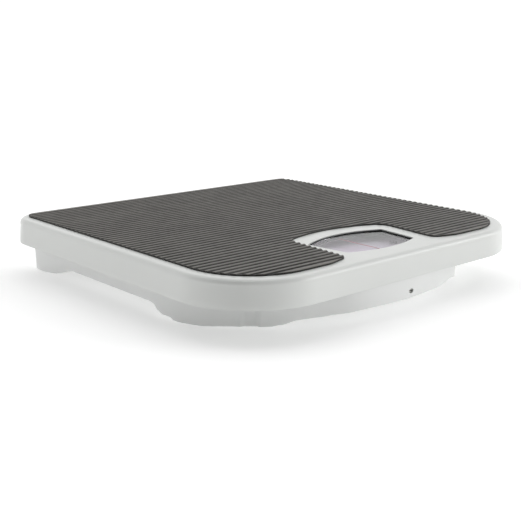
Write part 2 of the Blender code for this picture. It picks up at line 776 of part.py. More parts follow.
def build():
    for old in list(bpy.data.objects):
        bpy.data.objects.remove(old)

    white_paint = material("white_paint", (0.72, 0.73, 0.71), 0.34)
    white_plastic = material("white_plastic", (0.70, 0.71, 0.70), 0.42)
    mat_rubber = material("mat_rubber", (0.085, 0.08, 0.075), 0.62)
    pad_rubber = material("pad_rubber", (0.45, 0.45, 0.44), 0.75)
    gasket_black = material("gasket_black", (0.02, 0.02, 0.02), 0.6)
    clear = material("clear_lens", (0.95, 0.95, 0.97), 0.04, alpha=0.2)
    red = material("red_index", (0.6, 0.03, 0.05), 0.4)
    steel = material("zinc_steel", (0.58, 0.58, 0.56), 0.32, metallic=1.0)
    spring_steel = material("spring_steel", (0.45, 0.45, 0.46), 0.28, metallic=1.0)
    brass = material("brass", (0.75, 0.56, 0.26), 0.3, metallic=1.0)
    dial_white = material("dial_white", (0.82, 0.81, 0.84), 0.45)

    base = joint_frame("base_frame", (0, 0, 0))
    cover = joint_frame("cover_frame", (0, 0, 0), base)
    long_axis = joint_frame("long_lever_axis", (0, REAR_FULCRUM[1], PIN_Z), base)
    crank_axis = joint_frame("crank_axis", (0, CRANK_Y, CRANK_Z), base)
    rack_frame = joint_frame("rack_frame", (0, DIAL_Y, RACK_BOTTOM), base)
    dial_axis = joint_frame("dial_axis", (0, DIAL_Y, DIAL_BOTTOM), base)
    screw_axis = joint_frame("zero_screw_axis", (ZERO_X, NUT_Y, ZERO_Z), base)
    nut_frame = joint_frame("zero_nut_frame", (ZERO_X, NUT_Y, ZERO_Z), base)

    piece("platform_cover", make_cover(), white_paint, cover)
    piece("rubber_mat", make_mat(), mat_rubber, cover)
    piece("window_gasket", make_gasket(), gasket_black, cover)
    piece("window_lens", make_lens(), clear, cover)
    piece("index_line", box(-0.35, 0.35, -111.5, -80.5, 36.7, 37.0), red, cover)
    piece("base_tray", make_tray(), white_plastic, base)
    piece("dial_bridge", make_dial_bridge(), steel, base)
    piece("crank_bracket", make_crank_bracket(), steel, base)
    piece("crank_pivot_pin", rod((CRANK_Y, CRANK_Z), 1.2, -6.2, 6.2, "X"), steel, base)
    piece("zero_guide", make_zero_guide(), steel, base)
    piece("long_lever", make_long_lever(), steel, long_axis)

    spring_low, spring_high = TRAY_FLOOR + 1.6, COVER_TOP - COVER_THICKNESS - 1.6
    for side, hand in ((-1, "left"), (1, "right")):
        (rx, ry), (fx, fy) = REAR_FULCRUM, FRONT_FULCRUM
        loads = {"back": ry - LOAD_ARM, "front": fy + LOAD_ARM}
        piece(f"stiffener_{'front' if side < 0 else 'back'}", make_stiffener(-26 if side < 0 else 75), steel, cover)
        piece(f"post_back_{hand}", make_post(side * long_x(loads["back"]), loads["back"]), steel, cover)
        piece(f"post_front_{hand}", make_post(side * short_x(loads["front"]), loads["front"]), steel, cover)
        piece(f"fulcrum_bracket_back_{hand}", make_fulcrum_bracket(side * rx, ry), steel, base)
        piece(f"fulcrum_bracket_front_{hand}", make_fulcrum_bracket(side * fx, fy), steel, base)
        piece(f"foot_pad_front_{hand}", make_pad(True, side), pad_rubber, base)
        piece(f"foot_pad_back_{hand}", make_pad(False, side), pad_rubber, base)
        piece(f"long_fulcrum_pin_{hand}", lever_pin(side * rx, ry), steel, long_axis)
        piece(f"long_load_pin_{hand}", lever_pin(side * long_x(loads["back"]), loads["back"]), steel, long_axis)

        short_axis = joint_frame(f"short_lever_{hand}_axis", (side * fx, fy, PIN_Z), base)
        piece(f"short_lever_{hand}", make_short_lever(side), steel, short_axis)
        piece(f"short_fulcrum_pin_{hand}", lever_pin(side * fx, fy), steel, short_axis)
        load_x = side * short_x(loads["front"])
        piece(f"short_load_pin_{hand}", lever_pin(load_x, loads["front"]), steel, short_axis)
        x0, x1 = sorted((side * 38.5, side * (short_x(MEET_Y) + 4.5)))
        tip = rod((MEET_Y, tip_pin_z()), PIN_RADIUS, x0, x1, "X")
        piece(f"short_tip_pin_{hand}", tip, steel, short_axis)

        sx, sy = side * 112.0, 30.0
        piece(f"spring_lug_lower_{hand}", make_anchor(sx, sy, TRAY_FLOOR + 3.8, -1), steel, base)
        piece(f"spring_lug_upper_{hand}", make_anchor(sx, sy, COVER_TOP - 5.0, 1), steel, cover)
        piece(f"cover_spring_{hand}", make_cover_spring(sx, sy, spring_low, spring_high), spring_steel, base)

    piece("crank_lever", make_crank(), steel, crank_axis)
    input_y, input_z = crank_point(CRANK_INPUT, math.pi / 2 - CRANK_INPUT_ANGLE)
    output_y, output_z = crank_point(CRANK_OUTPUT, -CRANK_OUTPUT_ANGLE)
    piece("crank_input_pin", rod((input_y, input_z), 0.65, -6, 6, "X", 10), steel, crank_axis)
    piece("crank_output_pin", rod((output_y, output_z), 0.65, -1.6, 6.2, "X", 10), steel, crank_axis)
    piece("rack", make_rack(), brass, rack_frame)
    centre = (0, DIAL_Y)
    piece("pinion_shaft", make_pinion_shaft(), brass, dial_axis)
    piece("dial_disc", ring(centre, 1.5, DIAL_RADIUS, DIAL_BOTTOM, DIAL_TOP, 80), dial_white, dial_axis)
    piece("dial_hub", ring(centre, 1.5, 9.0, 30.1, DIAL_BOTTOM - GAP, 24), brass, dial_axis)
    piece("dial_cap", ring(centre, 1.5, 4.0, DIAL_TOP + GAP, 33.4, 18), brass, dial_axis)
    piece("zero_screw", make_zero_screw(), steel, screw_axis)
    piece("zero_nut", make_zero_nut(), brass, nut_frame)
    piece("main_spring", make_main_spring(), spring_steel, nut_frame)


build()
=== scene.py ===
"""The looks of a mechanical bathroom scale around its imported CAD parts."""

import json
import math

import bmesh
import bpy
from mathutils import Matrix, Vector

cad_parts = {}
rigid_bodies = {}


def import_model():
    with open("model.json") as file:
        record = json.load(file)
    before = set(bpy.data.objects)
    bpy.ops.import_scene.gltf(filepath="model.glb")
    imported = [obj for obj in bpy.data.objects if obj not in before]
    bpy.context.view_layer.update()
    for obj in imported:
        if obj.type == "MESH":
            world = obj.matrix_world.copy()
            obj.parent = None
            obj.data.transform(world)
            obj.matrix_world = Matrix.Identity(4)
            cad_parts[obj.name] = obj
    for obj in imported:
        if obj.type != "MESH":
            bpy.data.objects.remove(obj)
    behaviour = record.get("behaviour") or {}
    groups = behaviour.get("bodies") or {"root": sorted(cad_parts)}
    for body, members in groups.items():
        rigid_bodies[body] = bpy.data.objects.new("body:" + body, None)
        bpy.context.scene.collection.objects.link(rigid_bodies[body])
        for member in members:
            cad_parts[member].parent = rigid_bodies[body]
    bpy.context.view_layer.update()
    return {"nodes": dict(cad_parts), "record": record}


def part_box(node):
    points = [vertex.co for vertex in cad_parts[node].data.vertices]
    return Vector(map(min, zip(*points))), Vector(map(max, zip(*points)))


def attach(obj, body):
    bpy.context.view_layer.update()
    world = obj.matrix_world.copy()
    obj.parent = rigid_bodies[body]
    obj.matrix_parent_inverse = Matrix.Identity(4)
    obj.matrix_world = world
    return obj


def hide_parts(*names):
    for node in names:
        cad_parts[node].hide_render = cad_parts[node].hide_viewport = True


MM = 0.001
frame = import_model()
nodes = frame["nodes"]

COVER_LOW, COVER_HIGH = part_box("platform_cover")
WIDTH = (COVER_HIGH.x - COVER_LOW.x) / MM
DEPTH = (COVER_HIGH.y - COVER_LOW.y) / MM
TOP = COVER_HIGH.z / MM
SKIRT = COVER_LOW.z / MM
MAT_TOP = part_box("rubber_mat")[1].z / MM
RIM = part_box("base_tray")[1].z / MM

# The cover and its mat, in millimetres.
COVER_FRONT_RADIUS, COVER_BACK_RADIUS = 57.0, 27.0
MAT_MARGIN, MAT_BACK_RADIUS, MAT_FRONT_RADIUS = 10.3, 8.0, 45.0
MAT_START_X, MAT_START_RADIUS = 61.0, 24.0
RIB_PITCH, RIB_COUNT, GROOVE_DEPTH = 5.25, 46, 0.66

# The window, and the mat's cut-out round it, whose left side stands nearer to the window.
WINDOW_BACK_HALF, WINDOW_BACK_Y, WINDOW_BACK_SAG = 35.9, -77.9, 9.2
WINDOW_FRONT_HALF, WINDOW_FRONT_Y, WINDOW_FRONT_SAG = 32.0, -109.4, 6.3
WINDOW_CORNER_RADIUS = 2.5
NOTCH_RIGHT, NOTCH_LEFT, NOTCH_Y, NOTCH_SAG, NOTCH_RADIUS = 48.2, 38.6, -67.7, -11.5, 12.0
LOBE_X, LOBE_Y, LOBE_RADIUS = 42.0, -118.2, 7.0
SEAL_GAP, SEAL_WIDTH, PANE_DEPTH = 0.35, 0.95, 1.0
INDEX_HALF_WIDTH, INDEX_BACK_Y, INDEX_FRONT_Y = 0.45, -71.0, -113.6

# The base: a bowed front wall between two wide corners, and heights over the floor.
TRAY_HALF, TRAY_BACK_Y, TRAY_FRONT_Y, TRAY_BOW = 127.5, 125.0, -129.3, 225.0
TRAY_FRONT_RADIUS, TRAY_BACK_RADIUS, TRAY_BLEND_X, TRAY_BLEND_RADIUS = 90.0, 12.0, 42.0, 75.0
SOLE, PAN, FLOOR = 1.95, 9.0, 8.5
PAN_MIDDLE, PAN_SIDE = 7.0, 8.8
CHANNEL_DEPTH, CHANNEL_AT = 1.3, (99.2, -95.2)
RECESS_X, RECESS_FRONT_Y, RECESS_BACK_Y, RECESS_RADIUS = 58, -46, 58, 4.2
PANEL_HALF, PANEL_FRONT_Y, PANEL_BACK_Y, PANEL_RADIUS = 32, -14, 20, 3
HOLE_X, HOLE_Z, HOLE_HALF_WIDTH, HOLE_HALF_HEIGHT = 7.9, 12.0, 2.3, 1.7

# The dial.
DIAL_SWEEP, DIAL_KG = 320.0, 130
TICK_OUTER, NUMBER_RADIUS, NUMBER_SIZE = 69.5, 57.0, 7.5

# The studio: strength of the light tent and of the lit floor.
TENT_WHITE, FLOOR_GLOW, FLOOR_REACH = 1.08, 0.3, 4000.0


# ---------------------------------------------------------------- outlines, in millimetres

def rounded(corners, step=math.radians(3)):
    """An outline from (x, y, radius) corners; a radius of 0 keeps the corner as a plain point."""
    points = []
    for i, (x, y, radius) in enumerate(corners):
        if radius == 0:
            points.append((x, y))
            continue
        here = Vector((x, y))
        before = (Vector(corners[i - 1][:2]) - here).normalized()
        after = (Vector(corners[(i + 1) % len(corners)][:2]) - here).normalized()
        half = before.angle(after) / 2
        centre = here + (before + after).normalized() * radius / math.sin(half)
        start = here + before * radius / math.tan(half) - centre
        sweep = start.angle_signed(here + after * radius / math.tan(half) - centre)
        steps = max(2, round(abs(sweep) / step))
        for j in range(steps + 1):
            points.append(tuple(centre + Matrix.Rotation(-sweep * j / steps, 2) @ start))
    return points


def sagged(first, last, sag, steps):
    (x0, y0), (x1, y1) = first, last
    length = math.hypot(x1 - x0, y1 - y0)
    nx, ny = (y1 - y0) / length, -(x1 - x0) / length
    return [
        (x0 + (x1 - x0) * t + nx * sag * 4 * t * (1 - t), y0 + (y1 - y0) * t + ny * sag * 4 * t * (1 - t))
        for t in (i / steps for i in range(1, steps))
    ]


def grown(outline, distance):
    """The counter-clockwise outline moved outwards; distance is one number or one per point."""
    count = len(outline)
    moved = []
    for i, (x, y) in enumerate(outline):
        ax, ay = outline[i - 1]
        bx, by = outline[(i + 1) % count]
        first = Vector((y - ay, ax - x)).normalized()
        second = Vector((by - y, x - bx)).normalized()
        normal = (first + second).normalized()
        reach = (distance[i] if hasattr(distance, "__len__") else distance) / max(0.4, normal.dot(first))
        moved.append((x + normal.x * reach, y + normal.y * reach))
    return moved


def resampled(outline, spacing):
    """The outline with evenly spaced points."""
    lengths = [math.dist(a, b) for a, b in zip(outline, outline[1:] + outline[:1])]
    total = sum(lengths)
    count = round(total / spacing)
    points, i, before = [], 0, 0.0
    for k in range(count):
        at = total * k / count
        while before + lengths[i] < at:
            before += lengths[i]
            i += 1
        (x0, y0), (x1, y1) = outline[i], outline[(i + 1) % len(outline)]
        t = (at - before) / lengths[i]
        points.append((x0 + (x1 - x0) * t, y0 + (y1 - y0) * t))
    return points


def cover_outline():
    x, y = WIDTH / 2, DEPTH / 2
    front, back = COVER_FRONT_RADIUS, COVER_BACK_RADIUS
    return rounded([(-x, y, back), (-x, -y, front), (x, -y, front), (x, y, back)])


def mat_outline():
    x, y = WIDTH / 2 - MAT_MARGIN, DEPTH / 2 - MAT_MARGIN
    arc = sagged((-NOTCH_RIGHT, NOTCH_Y), (NOTCH_RIGHT, NOTCH_Y), NOTCH_SAG, 24)
    crown = [(px, py, 0) for px, py in arc if 3 - NOTCH_LEFT < px < NOTCH_RIGHT - NOTCH_RADIUS]
    back, front, start = (y, MAT_BACK_RADIUS), (-y, MAT_FRONT_RADIUS), (-y, MAT_START_RADIUS)
    left = [(-x, *back), (-x, *front), (-MAT_START_X, *start), (-LOBE_X - 0.5, LOBE_Y, LOBE_RADIUS)]
    left.append((-NOTCH_LEFT, NOTCH_Y + 2.6, 2))
    right = [(NOTCH_RIGHT, NOTCH_Y, NOTCH_RADIUS), (LOBE_X, LOBE_Y, LOBE_RADIUS)]
    right += [(MAT_START_X, *start), (x, *front), (x, *back)]
    return rounded(left + crown + right, math.radians(5))


def window_outline():
    back, front, radius = WINDOW_BACK_HALF, WINDOW_FRONT_HALF, WINDOW_CORNER_RADIUS
    front_arc = sagged((-front, WINDOW_FRONT_Y), (front, WINDOW_FRONT_Y), WINDOW_FRONT_SAG, 20)
    back_arc = sagged((back, WINDOW_BACK_Y), (-back, WINDOW_BACK_Y), WINDOW_BACK_SAG, 20)
    return rounded(
        [(-back, WINDOW_BACK_Y, radius), (-front, WINDOW_FRONT_Y, radius)]
        + [(x, y, 0) for x, y in front_arc]
        + [(front, WINDOW_FRONT_Y, radius), (back, WINDOW_BACK_Y, radius)]
        + [(x, y, 0) for x, y in back_arc],
        math.radians(10),
    )


def tray_outline():
    def bow(x):
        return TRAY_FRONT_Y + TRAY_BOW - math.sqrt(TRAY_BOW * TRAY_BOW - x * x)

    x, blend = TRAY_HALF, TRAY_BLEND_X
    left = [
        (-x, TRAY_BACK_Y, TRAY_BACK_RADIUS), (-x, bow(x), TRAY_FRONT_RADIUS),
        (-blend, bow(blend), TRAY_BLEND_RADIUS),
    ]
    right = [(-px, py, radius) for px, py, radius in reversed(left)]
    return rounded(left + [(px, bow(px), 0) for px in range(-30, 31, 6)] + right)


# ---------------------------------------------------------------- meshes

def finish_mesh(bm, name, sharp=40):
    bmesh.ops.recalc_face_normals(bm, faces=bm.faces)
    mesh = bpy.data.meshes.new(name)
    bm.to_mesh(mesh)
    bm.free()
    mesh.transform(Matrix.Scale(MM, 4))
    mesh.shade_smooth()
    mesh.set_sharp_from_angle(angle=math.radians(sharp))
    made = bpy.data.objects.new(name, mesh)
    bpy.context.scene.collection.objects.link(made)
    return made


def loft(name, loops, closed=False, capped=True, sharp=40):
    bm = bmesh.new()
    rows = [[bm.verts.new(point) for point in loop] for loop in loops]
    for low, high in list(zip(rows, rows[1:])) + ([(rows[-1], rows[0])] if closed else []):
        for i in range(len(low)):
            j = (i + 1) % len(low)
            bm.faces.new((low[i], low[j], high[j], high[i]))
    if capped and not closed:
        bm.faces.new(reversed(rows[0]))
        bm.faces.new(rows[-1])
    return finish_mesh(bm, name, sharp)


def level(outline, z):
    return [(x, y, z) for x, y in outline]


def stacked(name, outline, profile, closed=False, sharp=40):
    return loft(name, [level(grown(outline, d), z) for d, z in profile], closed, sharp=sharp)


def combined(target, other, operation="DIFFERENCE", sharp=40):
    modifier = target.modifiers.new("combine", "BOOLEAN")
    modifier.operation, modifier.solver, modifier.object = operation, "MANIFOLD", other
    bpy.context.view_layer.update()
    graph = bpy.context.evaluated_depsgraph_get()
    mesh = bpy.data.meshes.new_from_object(target.evaluated_get(graph))
    target.modifiers.clear()
    target.data = mesh
    mesh.shade_smooth()
    mesh.set_sharp_from_angle(angle=math.radians(sharp))
    bpy.data.objects.remove(other)
    return target


def softened(piece, width, segments=2, angle=35):
    """Small rounded edges, as pressed or moulded pieces have, with flat faces kept flat."""
    bevel = piece.modifiers.new("edges", "BEVEL")
    bevel.width, bevel.segments = width * MM, segments
    bevel.limit_method, bevel.angle_limit = "ANGLE", math.radians(angle)
    bevel.harden_normals = True
    return piece


def dressed(piece, body, look, slot, *replaced):
    piece.data.materials.clear()
    piece.data.materials.append(look)
    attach(piece, body)
    if replaced:
        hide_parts(*replaced)
    return piece


# ---------------------------------------------------------------- materials

RANGE_INPUTS = "From Min", "From Max", "To Min", "To Max"


class Look:
    """A Principled material with a few procedural layers on object coordinates, in metres."""

    def __init__(self, name, colour, roughness, **inputs):
        self.material = bpy.data.materials.new(name)
        self.material.use_nodes = True
        self.tree = self.material.node_tree
        self.shader = self.tree.nodes["Principled BSDF"]
        self.shader.inputs["Base Color"].default_value = (*colour, 1)
        self.shader.inputs["Roughness"].default_value = roughness
        for key, value in inputs.items():
            self.shader.inputs[key.replace("_", " ")].default_value = value
        self.place = self.node("ShaderNodeTexCoord").outputs["Object"]
        self.height = None

    def node(self, kind, **settings):
        made = self.tree.nodes.new(kind)
        for key, value in settings.items():
            setattr(made, key, value)
        return made

    def link(self, source, target):
        self.tree.links.new(source, target)

    def noise(self, scale, detail=4.0, stretch=(1, 1, 1)):
        mapping = self.node("ShaderNodeMapping")
        mapping.inputs["Scale"].default_value = stretch
        self.link(self.place, mapping.inputs["Vector"])
        noise = self.node("ShaderNodeTexNoise")
        noise.inputs["Scale"].default_value = scale
        noise.inputs["Detail"].default_value = detail
        self.link(mapping.outputs["Vector"], noise.inputs["Vector"])
        return noise.outputs["Fac"]

    def ranged(self, source, low, high, from_low=0.3, from_high=0.7):
        mapped = self.node("ShaderNodeMapRange")
        for key, value in zip(RANGE_INPUTS, (from_low, from_high, low, high)):
            mapped.inputs[key].default_value = value
        self.link(source, mapped.inputs["Value"])
        return mapped.outputs["Result"]

    def tint(self, source, dark, light, from_low=0.3, from_high=0.7):
        """Base colour between two colours, by a noise or another value."""
        mix = self.node("ShaderNodeMix", data_type="RGBA")
        mix.inputs["A"].default_value = (*dark, 1)
        mix.inputs["B"].default_value = (*light, 1)
        self.link(self.ranged(source, 0, 1, from_low, from_high), mix.inputs["Factor"])
        self.link(mix.outputs["Result"], self.shader.inputs["Base Color"])

    def rough(self, source, low, high):
        self.link(self.ranged(source, low, high), self.shader.inputs["Roughness"])

    def bump(self, source, distance, strength=1.0):
        bump = self.node("ShaderNodeBump")
        bump.inputs["Distance"].default_value = distance
        bump.inputs["Strength"].default_value = strength
        self.link(source, bump.inputs["Height"])
        if self.height is not None:
            self.link(self.height, bump.inputs["Normal"])
        self.height = bump.outputs["Normal"]
        self.link(self.height, self.shader.inputs["Normal"])


def shade(colour, factor):
    return tuple(min(1.0, c * factor) for c in colour)


def enamel():
    """Gloss white enamel: even colour, faint orange peel, slightly varying gloss."""
    white = (0.70, 0.715, 0.695)
    look = Look("white_enamel", white, 0.36, Coat_Weight=0.15, Coat_Roughness=0.2)
    look.tint(look.noise(9, 3), shade(white, 0.985), shade(white, 1.01))
    look.rough(look.noise(60, 4), 0.32, 0.42)
    look.bump(look.noise(900, 2), 0.00002, 0.35)
    return look.material


def moulded_white():
    """Satin white plastic with fine spark-eroded grain."""
    white = (0.80, 0.81, 0.80)
    look = Look("moulded_white", white, 0.42)
    look.tint(look.noise(14, 3), shade(white, 0.98), shade(white, 1.01))
    look.rough(look.noise(120, 4), 0.38, 0.5)
    look.bump(look.noise(2600, 3), 0.00002, 0.5)
    return look.material


def ribbed_rubber():
    """Dark grey-brown vinyl: matt grooves darkened by painted shade, rib tops paler by painted light,
    patchy random tone, fine leather grain.
    """
    # Groove colour carrying painted shade, and rib-top colour carrying painted light.
    dark, painted_lit_top = (0.016, 0.015, 0.013), (0.168, 0.161, 0.148)
    look = Look("ribbed_rubber", dark, 0.6, Specular_IOR_Level=0.35)
    split = look.node("ShaderNodeSeparateXYZ")
    look.link(look.place, split.inputs["Vector"])
    # Colour by height: painted shade low in the grooves, painted light on the rib tops.
    height = look.ranged(split.outputs["Z"], 0.0, 1.0, (MAT_TOP - 0.55) * MM, (MAT_TOP - 0.02) * MM)
    patchy = look.ranged(look.noise(45, 5), -0.12, 0.12)
    add = look.node("ShaderNodeMath", operation="ADD", use_clamp=True)
    look.link(height, add.inputs[0])
    look.link(patchy, add.inputs[1])
    look.tint(add.outputs["Value"], dark, painted_lit_top, 0.0, 1.0)
    look.rough(look.noise(300, 5), 0.52, 0.72)
    look.bump(look.noise(1800, 5), 0.00006, 0.6)
    look.bump(look.noise(500, 3), 0.00008, 0.3)
    return look.material


def soft_rubber(name, colour):
    look = Look(name, colour, 0.75, Specular_IOR_Level=0.3)
    look.tint(look.noise(150, 4), shade(colour, 0.9), shade(colour, 1.08))
    look.rough(look.noise(400, 4), 0.65, 0.85)
    look.bump(look.noise(1500, 4), 0.00005, 0.5)
    return look.material


def plated_steel(name="plated_steel", colour=(0.56, 0.56, 0.54), rough=(0.26, 0.44)):
    """Zinc-plated pressed steel: cloudy spangle and fine drawing lines."""
    look = Look(name, colour, 0.35, Metallic=1.0)
    look.tint(look.noise(220, 5), shade(colour, 0.86), shade(colour, 1.1))
    look.rough(look.noise(90, 4), *rough)
    look.bump(look.noise(500, 3, (1, 9, 9)), 0.00002, 0.4)
    return look.material


def brass():
    colour = (0.66, 0.47, 0.20)
    look = Look("satin_brass", colour, 0.3, Metallic=1.0)
    look.tint(look.noise(260, 5), shade(colour, 0.82), shade(colour, 1.08))
    look.rough(look.noise(300, 4), 0.24, 0.42)
    look.bump(look.noise(1200, 3), 0.00002, 0.4)
    return look.material


def dial_face():
    colour = (0.78, 0.75, 0.80)
    look = Look("dial_face", colour, 0.4)
    look.tint(look.noise(30, 3), shade(colour, 0.97), shade(colour, 1.02))
    look.rough(look.noise(200, 3), 0.35, 0.5)
    look.bump(look.noise(900, 2), 0.00001, 0.3)
    return look.material


def printed(name, colour):
    look = Look(name, colour, 0.5)
    look.tint(look.noise(800, 3), shade(colour, 0.85), shade(colour, 1.1))
    return look.material


def clear_window():
    """Thin clear plastic, faintly violet, with a painted dark reflection that makes it greener and darker
    toward its back right corner.
    """
    violet, painted_dark_reflection = (0.95, 0.90, 0.97), (0.66, 0.71, 0.68)
    look = Look("clear_window", violet, 0.03, Transmission_Weight=1.0, IOR=1.15)
    across = look.node("ShaderNodeVectorMath", operation="DOT_PRODUCT")
    across.inputs[1].default_value = (0.55, 0.83, 0)
    look.link(look.place, across.inputs[0])
    # Painted dark reflection: greener and darker toward the back right corner.
    look.tint(across.outputs["Value"], violet, painted_dark_reflection, -0.074, -0.054)
    look.rough(look.noise(70, 4), 0.015, 0.05)
    look.bump(look.noise(25, 2), 0.00004, 0.3)
    return look.material


# ---------------------------------------------------------------- cover group

def make_cover(look):
    outline = cover_outline()
    bend = [
        (-6.0, TOP), (-4.4, TOP), (-3.7, TOP - 0.06), (-3.0, TOP - 0.26), (-2.35, TOP - 0.6),
        (-1.8, TOP - 1.05), (-1.38, TOP - 1.65), (-1.1, TOP - 2.3), (-0.98, TOP - 2.9), (-1.0, TOP - 3.4),
        (-0.98, TOP - 4.2),
    ]
    flare, bend_end, hem_start = 0.98, TOP - 4.2, SKIRT + 0.5
    wall = [(-flare + flare * t, bend_end + (hem_start - bend_end) * t) for t in (0.25, 0.5, 0.75, 0.97)]
    hem = [(-0.1, SKIRT + 0.12), (-0.4, SKIRT), (-0.9, SKIRT), (-1.2, SKIRT + 0.3)]
    inner = [(-2.0, TOP - 4.0), (-2.6, TOP - 2.6), (-3.6, TOP - 1.6), (-5.0, TOP - 1.2)]
    cover = stacked("cover_shell", outline, bend + wall + hem + inner, sharp=50)
    opening = stacked("opening", window_outline(), [(0, TOP - 6), (0, TOP + 6)])
    combined(cover, opening, sharp=50)
    softened(cover, 0.55, 4, 50)
    return dressed(cover, "platform", look, "white_paint", "platform_cover")


def make_window(lens_look, seal_look, line_look):
    """The lens, nearly flush with the cover, in a thin black seal that shows only as a line; the seal's
    black is painted shadow for the gap round the lens.
    """
    outline = window_outline()
    inner = -SEAL_GAP - SEAL_WIDTH
    seal = stacked("window_seal", outline, [
        (-SEAL_GAP, TOP - 3.8), (-SEAL_GAP, TOP - 0.75), (-SEAL_GAP - 0.25, TOP - 0.5),
        (inner + 0.15, TOP - 0.5), (inner, TOP - 0.7), (inner, TOP - 2.7),
        (inner - 0.8, TOP - 2.7), (inner - 0.8, TOP - 3.8),
    ], closed=True)
    dressed(seal, "platform", seal_look, "gasket", "window_gasket")
    edge, pane_top = inner - 0.1, TOP - PANE_DEPTH
    lens = stacked("window_pane", outline, [(edge, pane_top - 0.7), (edge, pane_top)], sharp=20)
    dressed(lens, "platform", lens_look, "lens", "window_lens")
    half = INDEX_HALF_WIDTH
    line = [(-half, INDEX_FRONT_Y), (half, INDEX_FRONT_Y), (half, INDEX_BACK_Y), (-half, INDEX_BACK_Y)]
    thread = stacked("zero_line", line, [(0, TOP - 3.4), (0, TOP - 3.15)])
    dressed(thread, "platform", line_look, "index_red", "index_line")


def make_mat(look):
    """The ribbed mat: one rib section pushed across the width, trimmed to the mat's outline."""
    half, deep = WIDTH / 2, GROOVE_DEPTH
    first = -(RIB_COUNT - 1) / 2 * RIB_PITCH
    groove = [(-2.2, 0.0), (-1.8, -0.08), (-1.45, -0.28), (-1.2, -0.56), (-1.0, -deep),
              (1.0, -deep), (1.2, -0.56), (1.45, -0.28), (1.8, -0.08), (2.2, 0.0)]
    edge = DEPTH / 2
    section = [(-edge, TOP + 0.03), (edge, TOP + 0.03), (edge, MAT_TOP)]
    for i in reversed(range(RIB_COUNT)):
        section += [(first + i * RIB_PITCH + a, MAT_TOP + b) for a, b in reversed(groove)]
    section.append((-edge, MAT_TOP))
    slab = loft("tread_mat", [[(x, y, z) for y, z in section] for x in (-half, half)], sharp=60)
    trim = stacked("trim", mat_outline(), [(0, TOP - 3), (0, TOP + 6)])
    combined(slab, trim, "INTERSECT", sharp=60)
    return dressed(slab, "platform", look, "mat_rubber", "rubber_mat")


# ---------------------------------------------------------------- base group

def eased(table, at):
    """A smooth height between (position, height) pairs."""
    if at <= table[0][0]:
        return table[0][1]
    for (a, ha), (b, hb) in zip(table, table[1:]):
        if at <= b:
            t = (at - a) / (b - a)
            return ha + (hb - ha) * t * t * (3 - 2 * t)
    return table[-1][1]


def sole_height(x, y):
    """How high the tray's underside is over the floor, with the four feet reaching down."""
    side = abs(x)
    pan = eased([(60, PAN_MIDDLE), (112, PAN_SIDE)], side)
    front = max(
        eased([(-50.5, SOLE), (-48, 2.5), (-42, 2.8), (-38.5, 4.4), (-34, 8.0), (-30, PAN)], y),
        eased([(86, 5.3), (94, SOLE)], side + max(0, -90 - y)),
        eased([(28, PAN_MIDDLE), (50, 6.2), (62, 5.6), (74, 5.2), (84, 2.8), (89, SOLE)], side),
    )
    back = max(
        eased([(64, PAN), (70, 8.2), (76, 5.9), (83, 3.7), (89, 2.3), (92, SOLE)], y),
        eased([(88, PAN), (92, 6.6), (98, 2.5), (100, SOLE)], side),
    )
    front_pad = max(
        eased([(-92, PAN), (-86, SOLE), (-80, 1.5), (-75, 0.9), (-70, 0.4), (-54, 0.4), (-51, 0.8),
               (-48.5, 2.4), (-44, PAN)], y),
        eased([(94, PAN), (99, 0.4)], side),
    )
    back_pad = max(
        eased([(86, PAN), (91, SOLE), (98, 1.2), (105, 0.3)], y),
        eased([(98, PAN), (103, 0.3)], side),
    )
    return min(pan, front, back, front_pad, back_pad)


def fluted(x, y):
    """How far a front foot's wall is set back at a point: one shallow upright channel per corner."""
    if y > 0:
        return 0.0
    along = (CHANNEL_AT[0] - abs(x)) * 0.72 + (CHANNEL_AT[1] - y) * 0.69
    return -CHANNEL_DEPTH * (eased([(-6.0, 0), (-4.4, 1)], along) - eased([(4.0, 0), (5.2, 1)], along))


